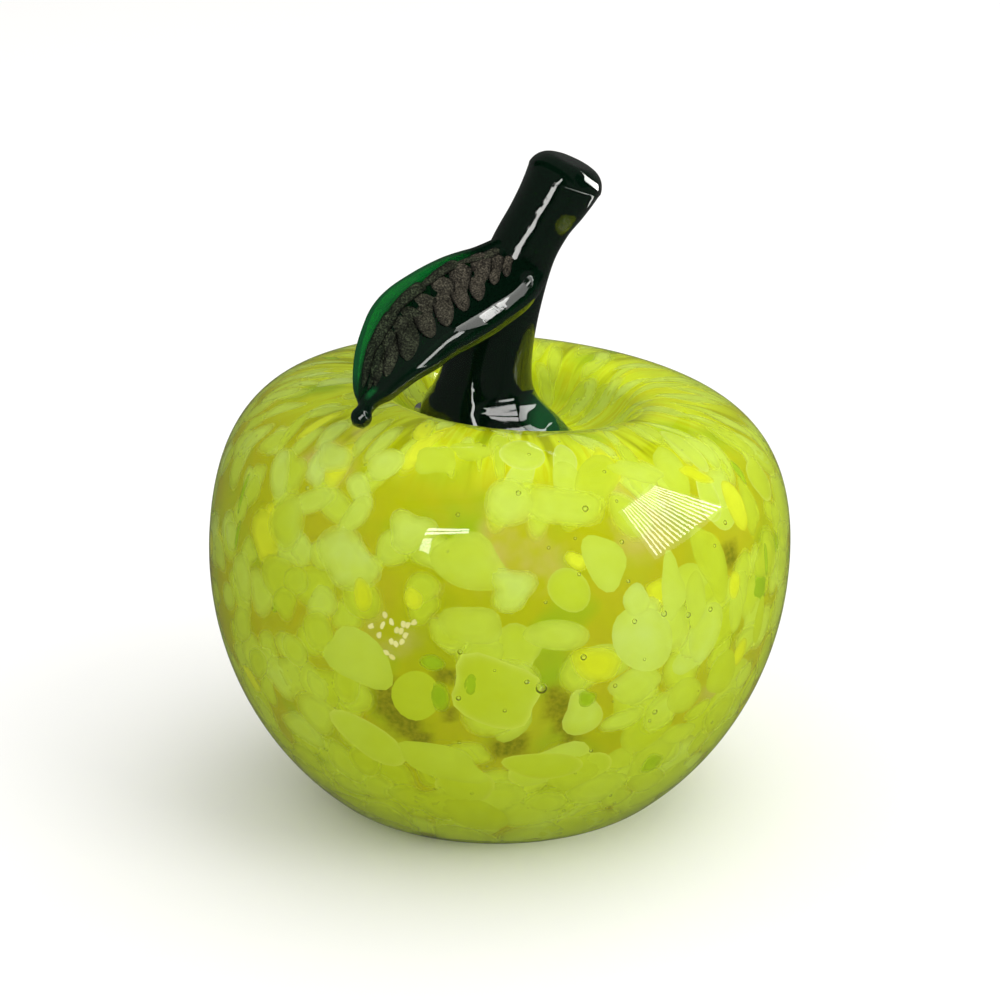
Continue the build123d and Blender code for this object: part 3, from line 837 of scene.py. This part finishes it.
# Frosted lobes: picture places of root and tip, width in the picture, and how green they are
frosted = {
    "lobes": ((508, 256, 507, 277, 12, 0.0), (496, 254, 494, 285, 17, 0.0), (481, 253, 479, 301, 23, 0.0),
              (461, 263, 464, 312, 25, 0.05), (442, 277, 447, 327, 26, 0.15), (424, 294, 431, 338, 25, 0.35),
              (410, 307, 407, 361, 28, 0.7), (401, 316, 386, 377, 18, 0.65), (391, 330, 375, 386, 13, 0.75),
              (382, 345, 368, 391, 9, 0.9), (500, 250, 455, 264, 10, 0.5), (458, 262, 420, 288, 12, 0.65),
              (424, 284, 388, 322, 14, 0.8), (394, 312, 368, 360, 14, 0.85), (374, 340, 363, 388, 9, 0.9)),
    "height": 0.2, "lift": 0.06, "narrowing": 0.18, "rootRounding": 0.08, "rows": 18, "around": 14,
    "searched": ((0.0, 0.9, 300), (-0.45, 0.42, 120)),     # run and side of the top face, with steps
    "grain": (3800.0, 2.0, 3.0), "cloud": (500.0, 3.0, 1.6), "grainShare": 0.6, "cloudShare": 0.4,
    "brown": ((0.1, 22, 20, 15), (0.5, 60, 56, 46), (0.9, 104, 98, 84)),
    "green": ((0.1, 5, 14, 5), (0.5, 20, 34, 17), (0.9, 60, 78, 48)),
    # painted shade in the grooves between the lobes: its colour and how sharply it falls off
    "groove": (9, 11, 7), "grooveShadePower": 4.0, "bumpStrength": 0.6, "bumpHeight": 0.0003,
    "roughness": 0.55, "specular": 0.3,
}


def leafColumns():
    # the leaf's sections run through smoothly: even shares of its length, and for each the place, width,
    # thickness, direction across and direction up
    l = leaf
    flat = [(r * l["reach"], f * l["forward"], d * l["drop"], w * l["width"], t * l["thickness"])
            for r, f, d, w, t in l["sections"]]
    flat += [(r * l["reach"], f * l["forward"], d * l["drop"], 2 * l["bead"] * k, 2 * l["bead"] * k)
             for r, f, d, k in l["beadSections"]]
    track = smoothTrack(flat, l["rows"])
    place = np.array(l["start"]) - track[:, :3]
    ahead = unit(np.gradient(place, axis=0))
    across = unit(np.array(l["across"]) - ahead * (ahead @ np.array(l["across"]))[:, None])
    run = lengthAlong(place)
    return run / run[-1], np.concatenate((place, track[:, 3:], across, np.cross(ahead, across)), 1)


def leafSection():
    # the profile run through smoothly as a closed ring, and its top face from the far edge to the near one
    profile, steps = leaf["profile"], leaf["around"] * 4
    ring = smoothTrack(profile[-1:] + profile + profile[:2], steps)
    spans = len(profile) + 2
    ring = ring[steps // spans:][:steps * len(profile) // spans]
    return ring, ring[:np.argmin(ring[:, 0]) + 1][::-1]


leafRun, leafTrack = leafColumns()
leafRing, leafTop = leafSection()


def leafAt(run):
    # place, width, thickness, direction across and direction up at runs along the leaf
    columns = np.stack([np.interp(run, leafRun, column) for column in leafTrack.T], -1)
    return columns[..., :3], columns[..., 3:4], columns[..., 4:5], columns[..., 5:8], columns[..., 8:]


def onLeaf(run, side, lift=0.0):
    # a point over the leaf's top face: the midline's place, the side's share of the width across, and the
    # section's rise there and the lift along the direction up
    place, width, thick, across, up = leafAt(run)
    rise = np.interp(side, leafTop[:, 0], leafTop[:, 1]) * thick[..., 0] + lift
    return place + side[..., None] * width * across + rise[..., None] * up, up


def leafMesh():
    # closed sections carried along the drooping midline; towards the bead they become circles
    index = np.linspace(0, len(leafRing), leaf["around"], endpoint=False).astype(int)
    side, rise = leafRing[index].T[:, None]
    run = leafRun[:, None]
    place, width, thick, across, up = leafAt(leafRun)
    angle = np.arctan2(rise, side)
    bead = fadeIn(run, *leaf["round"])
    side = side * (1 - bead) + 0.5 * np.cos(angle) * bead
    rise = rise * (1 - bead) + 0.5 * np.sin(angle) * bead
    rings = carried(place, across, up, side * width, rise * thick)
    # painted light: a green glow along the thin far edge and in a patch beside the bead
    lit = fadeIn(run, *leaf["litFrom"]) * fadeIn(run, *leaf["litTo"]) * fadeIn(side, *leaf["litSide"])
    patch = 1.0
    for value, (middle, half) in zip((run, side), leaf["patch"]):
        patch = patch * np.clip(1.4 - np.abs(value - middle) / half, 0, 1)
    strip = np.maximum(lit, patch * (rise > 0))
    return *closedTube(rings), {"strip": np.concatenate((strip.ravel(), (0.0, 0.0)))}


def rimMesh():
    # ovals carried along the near edge, a little larger than the leaf's own, with both ends rounded off as
    # quarter circles; and the bead at the tip, a ball
    r = rolled
    run = np.linspace(r["from"], r["to"], r["rows"])
    place, width, thick, across, up = leafAt(run)
    start, end = fadeIn(run, r["from"], r["rounding"]), fadeIn(run, r["to"], -r["taper"])
    swell = np.sqrt(1 - (1 - start) ** 2) * np.sqrt(1 - (1 - end) ** 2)
    swell = np.maximum(swell, r["thinnest"])[:, None]
    around = allRound(r["around"])[None, :]
    side = r["side"] * width + (r["halfAcross"] * width + r["over"]) * swell * np.cos(around)
    rise = r["rise"] * thick + (r["halfUp"] * thick + r["over"]) * swell * np.sin(around)
    beadPlace = np.array(leaf["beadSections"][1][:3]) * (leaf["reach"], leaf["forward"], leaf["drop"])
    centre = np.array(leaf["start"]) - beadPlace
    bead = ball(r["around"] // 2 - 2, r["around"]) * (leaf["bead"] + r["over"]) + centre
    return joined((closedTube(carried(place, across, up, side, rise)), closedTube(bead)))


def frostedGlass():
    # the press left the lobes matt: grey-brown grains on dark glass, greener and darker towards the tip, and
    # painted shade, darkest in the grooves between them
    f = frosted
    material, tree = newMaterial("frostedLeafGlass")
    grain = mottle(tree, *f["grain"])
    tone = weighted(tree, (grain, f["grainShare"]), (mottle(tree, *f["cloud"]), f["cloudShare"]))
    brown, green = (ramp(tree, tone, f[label]) for label in ("brown", "green"))
    colour = blendColours(tree, pointValue(tree, "green"), brown, green)
    # painted shade at the lobes' sides, where the grooves between them lie
    groove = maths(tree, "POWER", pointValue(tree, "beside"), f["grooveShadePower"])
    body = node(tree, "ShaderNodeBsdfPrincipled", {
        "Base Color": blendColours(tree, groove, colour, fromScreen(*f["groove"])),
        "Roughness": f["roughness"], "Specular IOR Level": f["specular"], "Normal": bumped(tree, grain, f)})
    showing(tree, body.outputs["BSDF"])
    return material


def lobesMesh():
    # each lobe a flat tube from its root at the midrib to its round tip, lying in the leaf's top face; its
    # half width is the full one times a root that swells early, a slight narrowing, and a close at the tip
    f = frosted
    runs, sides = np.meshgrid(*(np.linspace(*limits) for limits in f["searched"]), indexing="ij")
    seen = toPicture(onLeaf(runs, sides)[0])
    around = allRound(f["around"])
    step = np.linspace(0.004, 0.996, f["rows"])
    meshes, green = [], []
    for *ends, width, tone in f["lobes"]:
        places = []
        for right, down in (ends[:2], ends[2:]):
            best = np.argmin(np.hypot(seen[..., 0] - right, seen[..., 1] - down))
            places.append((runs.flat[best], sides.flat[best]))
        (run, side), (endRun, endSide) = places
        centre, up = onLeaf(run + (endRun - run) * step, side + (endSide - side) * step, f["lift"])
        across = np.cross(unit(np.gradient(centre, axis=0)), up)
        half = width * perPixel / 2
        half = half * np.minimum(1, (1 - step**4)) ** 0.5 * (1 - f["narrowing"] * step)
        half = half * np.minimum(1, step / f["rootRounding"]) ** 0.5
        high = f["height"] * np.where(np.sin(around) > 0, 1.0, 0.5)
        side, rise = half[:, None] * np.cos(around), half[:, None] / half.max() * high * np.sin(around)
        meshes.append(closedTube(carried(centre, across, up, side, rise)))
        green.append(np.full(len(meshes[-1][0]), tone))
    # the mask for the painted groove shade: how far round to a lobe's side
    beside = np.concatenate((np.tile(np.abs(np.cos(around)), len(step)), (0.0, 0.0)))
    return *joined(meshes), {"green": np.concatenate(green), "beside": np.tile(beside, len(meshes))}


def finish(name, mesh, material, nodeName):
    # a piece of the apple: it rides on the one body, and its CAD node is hidden
    piece = newPiece(name, *mesh)
    piece.data.materials.append(material)
    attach(piece, "root")
    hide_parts(nodeName)
    print("made", name, len(piece.data.polygons), "faces")
    return piece


def buildChips():
    # the strewn chips leave room for what is seen in the picture, thin out near the bowl, and are dealt to
    # the colours by lot; each colour has its named chips first
    strewn = clearOf(clearOf(strewnChips(), chips["open"], 0.5), gather["hollow"], 0.8)
    bare = chips["sparse"] * (strewn[:, 0] > chips["streakFull"])
    strewn = strewn[draws.uniform(0, 1, len(strewn)) > bare]
    lot = draws.uniform(0, 1, len(strewn))
    green, yellow = lot < chips["greenShare"], lot < chips["greenShare"] + chips["yellowShare"]
    groups = {"green": strewn[green], "yellow": strewn[yellow & ~green], "lime": strewn[~yellow],
              "cream": strewn[:0]}
    groups["green"][:, 2:4] *= chips["greenSize"]
    for colour, rows in groups.items():
        named = np.array([pictureToChip(*chip) for chip in chips[colour]])
        deep = draws.uniform(chips["shallow"] + chips["strewn"], chips["deep"], len(rows))
        near = np.linspace(chips["shallow"], chips["shallow"] + chips["named"], len(named))
        mesh = chipMesh(np.concatenate((named, rows)), np.concatenate((near, deep)))
        kind = "yellow" if colour == "cream" else colour    # the few pale crumbs lie among the yellow chips
        piece = finish(colour + "_frit", mesh, chipGlass(colour), kind + "_chips")
        piece.visible_shadow = False                        # fused in: no dark line round a chip
        piece.visible_diffuse = False


def buildApple():
    finish("clear_overlay", overlayMesh(), clearGlass(), "clear_casing")
    finish("inner_bubble", bubbleMesh(), amberGlass(), "inner_gather")
    buildChips()
    finish("drawn_stem", stemMesh(), bottleGlass("stem"), "stem")
    finish("pressed_leaf", leafMesh(), bottleGlass("leaf"), "leaf")
    finish("leaf_rim", rimMesh(), bottleGlass("rim"), "leaf")
    finish("frosted_lobes", lobesMesh(), frostedGlass(), "leaf")


# Room: pale floor, soft light, and the lit panels that the glass mirrors
room = {
    "floorSide": 9.0, "floorColour": (0.88, 0.88, 0.88, 1.0), "worldColour": (1.0, 0.99, 0.97, 1.0),
    "worldStrength": 0.97, "mirroredStrength": 0.09,
    "domeRadius": 7.0, "domeRise": 1.5, "domeRows": 17, "domeAround": 32,
    "panelColour": (1.0, 0.985, 0.96, 1.0),
    # quads: the piece that mirrors one, its four corners in the picture, slats across, gap share, radiance
    # and distance in metres
    "quads": (
        ("slatted", "clear_overlay", ((655, 486), (722, 507), (654, 558), (621, 511)), 17, 0.6, 14.0, 0.3),
        ("slattedGlow", "clear_overlay", ((650, 484), (724, 506), (655, 560), (618, 512)),
         1, 0.0, 1.2, 0.45),
        ("bar", "clear_overlay", ((428, 528), (470, 529), (468, 534), (424, 536)), 2, 0.3, 15.0, 0.03),
        ("shortBar", "clear_overlay", ((424, 538), (432, 538), (429, 554), (419, 550)), 1, 0.0, 9.0, 0.03),
        ("endFacet", "drawn_stem", ((580, 171), (598, 185), (598, 191), (584, 180)), 1, 0.0, 18.0, 0.03),
        ("footGlow", "drawn_stem", ((483, 409), (515, 404), (520, 424), (492, 420)), 3, 0.25, 9.0, 0.035),
        ("footSide", "drawn_stem", ((520, 406), (536, 404), (530, 424), (522, 424)), 1, 0.0, 6.0, 0.035),
        ("leafWide", "leaf_rim", ((524, 281), (531, 288), (508, 306), (501, 300)), 1, 0.0, 3.0, 0.04),
        ("leafSlats", "leaf_rim", ((501, 300), (508, 306), (489, 320), (484, 316)), 6, 0.35, 14.0, 0.04),
    ),
    # streaks: the piece, the places run through in the picture, half width there, radiance and distance
    "streaks": (
        ("stemStreak", "drawn_stem", ((565, 176), (549, 194), (538, 215), (532, 230), (516, 248)),
         0.9, 12.0, 0.06),
        ("leafThin", "leaf_rim", ((447, 342), (425, 362), (402, 383)), 1.2, 9.0, 0.06),
        ("beadGlint", "leaf_rim", ((359, 419), (363, 415)), 1.2, 8.0, 0.1),
    ),
    "panelSteps": 6,
    # lamps: place, aim and size in metres, power in watts and colour
    "lamps": (
        ("keyLight", (0.9, -0.5, 0.9), (0, 0, 0.04), (0.6, 0.6), 3.5, (1.0, 0.98, 0.95)),
        ("topLight", (0.5, 0.2, 1.3), (0, 0, 0), (1.4, 1.0), 6.0, (1, 1, 1)),
        ("lowFill", (-0.25, -0.9, 0.14), (0, 0, 0.02), (0.9, 0.2), 1.2, (1, 1, 1)),
    ),
}


def glowing(piece, colour, strength):
    # a staged piece that gives light and that nothing but a mirroring surface sees
    material, tree = newMaterial(piece.name + "Light")
    glow = node(tree, "ShaderNodeEmission", {"Color": colour, "Strength": strength})
    showing(tree, glow.outputs["Emission"])
    piece.data.materials.append(material)
    for ray in ("camera", "diffuse", "transmission", "shadow", "volume_scatter"):
        setattr(piece, "visible_" + ray, False)
    return material


def litPanel(name, receiver, tree, lines, distance, radiance):
    # bands between the picture's pairs of lines, each point of them standing where the piece mirrors it; the
    # panel lights that piece alone
    points, faces = [], []
    for left, right in lines:
        first = len(points)
        for pair in zip(left, right):
            points += [mirroredFrom(receiver.data, tree, *place, distance) for place in pair]
        faces += [(first + 2 * k, first + 2 * k + 1, first + 2 * k + 3, first + 2 * k + 2)
                  for k in range(len(left) - 1)]
    panel = newPiece(name, points, faces, smooth=False)
    lit = bpy.data.collections.new(name + "Lit")
    lit.objects.link(receiver)
    panel.light_linking.receiver_collection = lit
    glowing(panel, room["panelColour"], radiance)


def lightPanels():
    # the quads are cut into slats, and the streaks follow their places, at even steps
    receivers = {}
    for name in ("clear_overlay", "drawn_stem", "leaf_rim"):
        piece = bpy.data.objects[name]
        receivers[name] = piece, BVHTree.FromPolygons([vertex.co for vertex in piece.data.vertices],
                                                      [polygon.vertices for polygon in piece.data.polygons])
    along = np.linspace(0, 1, room["panelSteps"])[:, None]
    for name, receiver, corners, slats, gap, radiance, distance in room["quads"]:
        a, b, c, d = np.array(corners, float)
        lines = [[(a + (d - a) * side) * (1 - along) + (b + (c - b) * side) * along
                  for side in (slat / slats, (slat + 1 - gap) / slats)] for slat in range(slats)]
        litPanel(name, *receivers[receiver], lines, distance, radiance)
    for name, receiver, places, half, radiance, distance in room["streaks"]:
        track = smoothTrack(places, room["panelSteps"] * (len(places) - 1))
        ahead = np.gradient(track, axis=0)
        beside = unit(ahead) * half
        beside = np.stack((-beside[:, 1], beside[:, 0]), 1)
        litPanel(name, *receivers[receiver], [(track - beside, track + beside)], distance, radiance)


def mirroredDome():
    # what the glass mirrors where there is no panel: a dim closed dome
    turn = allRound(room["domeAround"])[None, :]
    rise = np.linspace(-room["domeRise"], room["domeRise"], room["domeRows"])[:, None]
    rings = np.stack((np.cos(rise) * np.cos(turn), np.cos(rise) * np.sin(turn), np.sin(rise) + 0 * turn), -1)
    dome = newPiece("mirroredDome", *closedTube(rings * room["domeRadius"] / mm))
    glowing(dome, room["worldColour"], room["mirroredStrength"]).cycles.emission_sampling = "NONE"


def areaLight(name, place, aim, size, power, colour):
    light = bpy.data.lights.new(name, "AREA")
    light.shape = "RECTANGLE"
    light.size, light.size_y = size
    light.energy = power
    light.color = colour
    lamp = newObject(name, light)
    lamp.location = place
    lamp.visible_glossy = False
    lamp.rotation_euler = (Vector(aim) - Vector(place)).to_track_quat("-Z", "Y").to_euler()


def buildRoom():
    half = room["floorSide"] / 2 / mm
    corners = np.array(((-1, -1, 0), (1, -1, 0), (1, 1, 0), (-1, 1, 0))) * half
    floor = newPiece("floor", corners, ((0, 1, 2, 3),), smooth=False)
    material, tree = newMaterial("paleFloor")
    body = node(tree, "ShaderNodeBsdfPrincipled", {"Base Color": room["floorColour"], "Roughness": 0.8,
                                                   "Specular IOR Level": 0.1})
    showing(tree, body.outputs["BSDF"])
    floor.data.materials.append(material)
    floor.visible_glossy = False
    world = bpy.data.worlds.new("softRoom")
    world.use_nodes = True
    sky = world.node_tree.nodes["Background"]
    sky.inputs["Color"].default_value = room["worldColour"]
    sky.inputs["Strength"].default_value = room["worldStrength"]
    bpy.context.scene.world = world
    world.cycles_visibility.glossy = False            # the dome takes its place there
    lightPanels()
    mirroredDome()
    for lamp in room["lamps"]:
        areaLight(*lamp)


def buildCamera():
    # stands at the fitted distance and rise; the small shift puts the aim where the picture has it
    camera = bpy.data.cameras.new("photoCamera")
    camera.sensor_width = view["sensor"]
    camera.lens = view["focal"] * view["sensor"] / view["pictureSide"]
    middle = view["pictureSide"] / 2
    camera.shift_x = (middle - view["centre"][0]) / view["pictureSide"]
    camera.shift_y = (view["centre"][1] - middle) / view["pictureSide"]
    camera.clip_start = 0.01
    holder = newObject("photoCamera", camera)
    holder.location = (cameraPlace * mm).tolist()
    holder.rotation_euler = (pi / 2 - radians(view["rise"]), 0, 0)
    bpy.context.scene.camera = holder


buildApple()
buildRoom()
buildCamera()
scene = bpy.context.scene
scene.view_settings.view_transform = "Standard"
scene.cycles.use_denoising = True
scene.cycles.transparent_max_bounces = 24
scene.cycles.max_bounces = 16
print("room and camera made")
